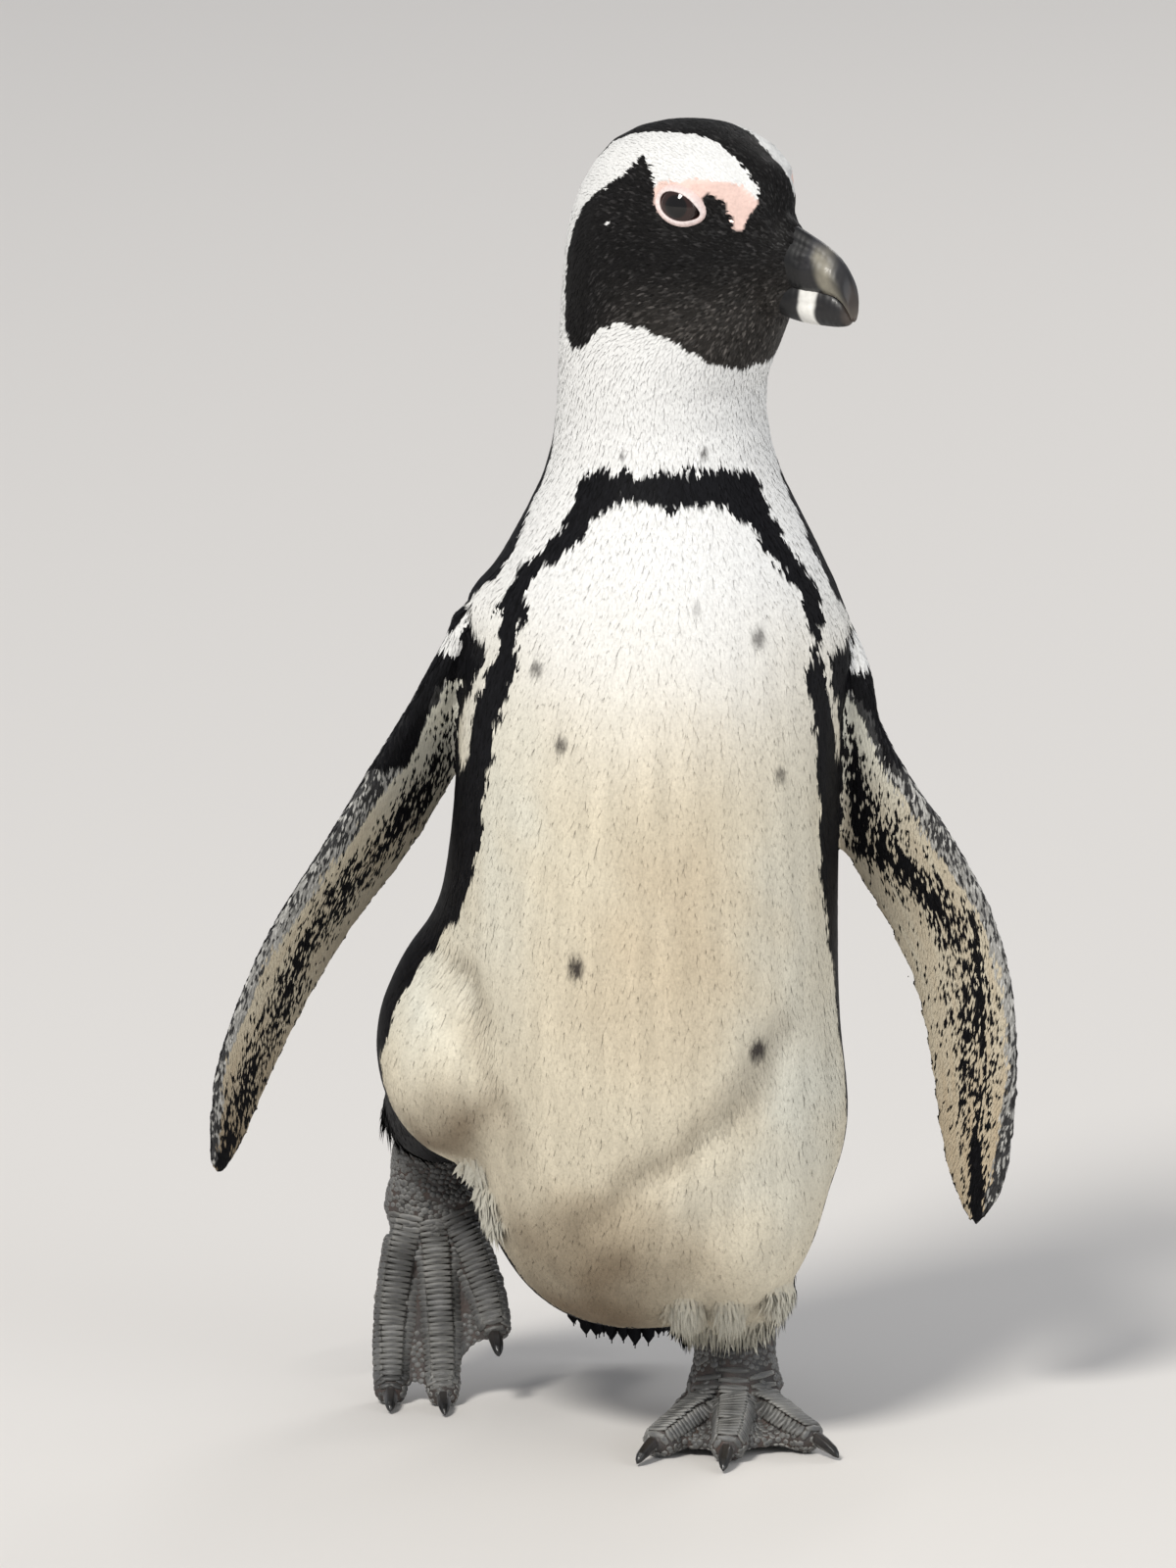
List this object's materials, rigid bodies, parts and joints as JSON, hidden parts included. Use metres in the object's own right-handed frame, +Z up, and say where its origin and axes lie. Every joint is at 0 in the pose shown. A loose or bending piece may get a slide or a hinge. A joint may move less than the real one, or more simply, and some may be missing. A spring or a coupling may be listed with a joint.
{
  "type": "african penguin model",
  "caption": "Life-size still model of an African penguin walking, head turned to its left, left foot planted, right foot behind on its toe tips and flippers held out.",
  "frame": {"origin": "centre of the model's footprint, at ground level under both feet", "axes": "+Z up, -Y the way the bird walks, +X towards its left"},
  "size_m": [0.333, 0.2084, 0.5485],
  "materials": {
    "plumage": "white to cream feathers, black on the back and face",
    "flipper_feathers": "short stiff black feathers",
    "horn": "semi-gloss dark horn with a pale band",
    "eye": "wet dark brown eye",
    "scaled_skin": "dark grey scaled skin",
    "claw": "dark horn"
  },
  "bodies": {
    "root": {"trunk": "plumage", "neck": "plumage", "head": "plumage", "leg_left": "plumage", "leg_right": "plumage", "flipper_left": "flipper_feathers", "flipper_right": "flipper_feathers", "tail": "flipper_feathers", "bill_upper": "horn", "bill_lower": "horn", "eye_left": "eye", "eye_right": "eye", "tarsus_left": "scaled_skin", "tarsus_right": "scaled_skin", "foot_left": "scaled_skin", "foot_right": "scaled_skin", "claw_left_inner": "claw", "claw_left_middle": "claw", "claw_left_outer": "claw", "claw_left_hallux": "claw", "claw_right_inner": "claw", "claw_right_middle": "claw", "claw_right_outer": "claw", "claw_right_hallux": "claw"}
  },
  "joints": []
}
